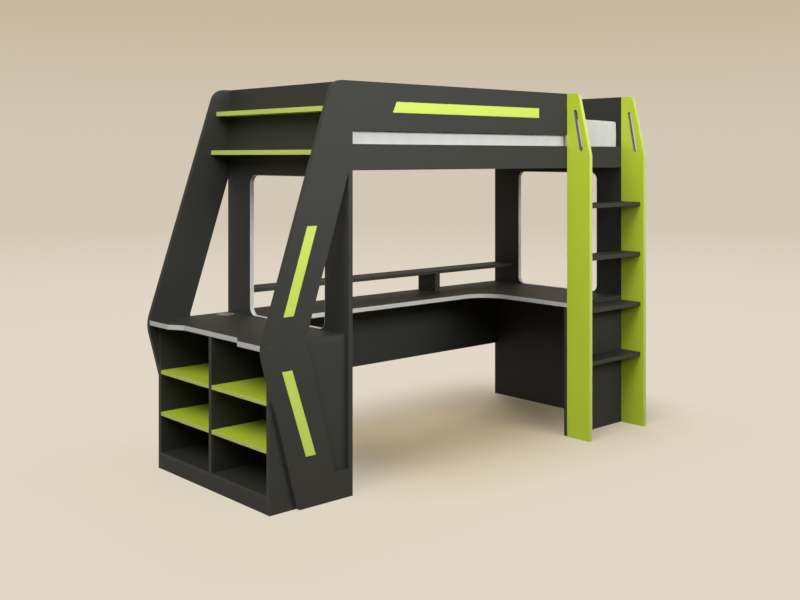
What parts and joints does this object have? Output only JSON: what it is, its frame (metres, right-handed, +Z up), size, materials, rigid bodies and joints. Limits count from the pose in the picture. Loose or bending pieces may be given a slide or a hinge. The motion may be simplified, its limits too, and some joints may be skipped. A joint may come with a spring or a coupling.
{
  "type": "high sleeper bed",
  "caption": "High sleeper bed over a corner desk, with a bookcase and desk between bent side plates at the head end and a fixed ladder at the foot end.",
  "frame": {"origin": "on the floor, in the middle of the whole outline", "axes": "+Z up, +X along the bed towards the ladder end, -Y towards the ladder side"},
  "size_m": [2.4149, 1.102, 1.8],
  "materials": {
    "charcoal_board": "matte melamine",
    "lime_board": "satin melamine",
    "lime_inlay": "satin",
    "pale_edging": "satin",
    "mattress_cover": "knitted",
    "pine": "planed",
    "webbing": "woven",
    "zinc_steel": "zinc plated",
    "grey_plastic": "satin",
    "dark_plastic": "matte"
  },
  "bodies": {
    "bed": {"back_guard_rail": "charcoal_board", "back_side_plate": "charcoal_board", "back_side_rail": "charcoal_board", "back_slat_batten": "pine", "barrel_nuts": "zinc_steel", "bookcase_back": "charcoal_board", "bookcase_bottom": "charcoal_board", "bookcase_divider": "charcoal_board", "bookcase_far_side": "charcoal_board", "bookcase_near_side": "charcoal_board", "bookcase_plinth": "charcoal_board", "bracket_screws": "zinc_steel", "corner_brackets": "zinc_steel", "corner_desk_edging": "pale_edging", "corner_desk_top": "charcoal_board", "cover_caps": "dark_plastic", "desk_leg_panel": "charcoal_board", "desk_screws": "zinc_steel", "dowels": "pine", "far_lower_shelf": "lime_board", "far_upper_shelf": "lime_board", "foot_desk_cleat": "charcoal_board", "foot_end_panel": "charcoal_board", "foot_window_edging": "pale_edging", "front_guard_rail": "charcoal_board", "front_side_plate": "charcoal_board", "front_side_rail": "charcoal_board", "front_slat_batten": "pine", "grommet_sleeve": "grey_plastic", "head_desk_cleat": "charcoal_board", "head_end_panel": "charcoal_board", "head_window_edging": "pale_edging", "ladder_screws": "zinc_steel", "ladder_tread_1": "charcoal_board", "ladder_tread_2": "charcoal_board", "ladder_tread_3": "charcoal_board", "ladder_tread_4": "charcoal_board", "left_desk_edging": "pale_edging", "left_desk_top": "charcoal_board", "left_ladder_stile": "lime_board", "left_monitor_fin": "charcoal_board", "lower_head_shelf": "lime_board", "lower_inlay": "lime_inlay", "mattress": "mattress_cover", "modesty_panel": "charcoal_board", "monitor_shelf": "charcoal_board", "near_lower_shelf": "lime_board", "near_upper_shelf": "lime_board", "rail_bolts": "zinc_steel", "rail_inlay": "lime_inlay", "right_ladder_stile": "lime_board", "right_monitor_fin": "charcoal_board", "shelf_pins": "zinc_steel", "slat_tapes": "webbing", "slats": "pine", "upper_head_shelf": "lime_board", "upper_inlay": "lime_inlay"},
    "cable_cap": {"grommet_cap": "grey_plastic"}
  },
  "joints": [
    {"name": "cable_cap_turn", "type": "hinge", "parent": "bed", "child": "cable_cap", "pos_m": [-0.8355, 0.457, 0.703], "axis": [0, 0, 1], "continuous": true}
  ]
}
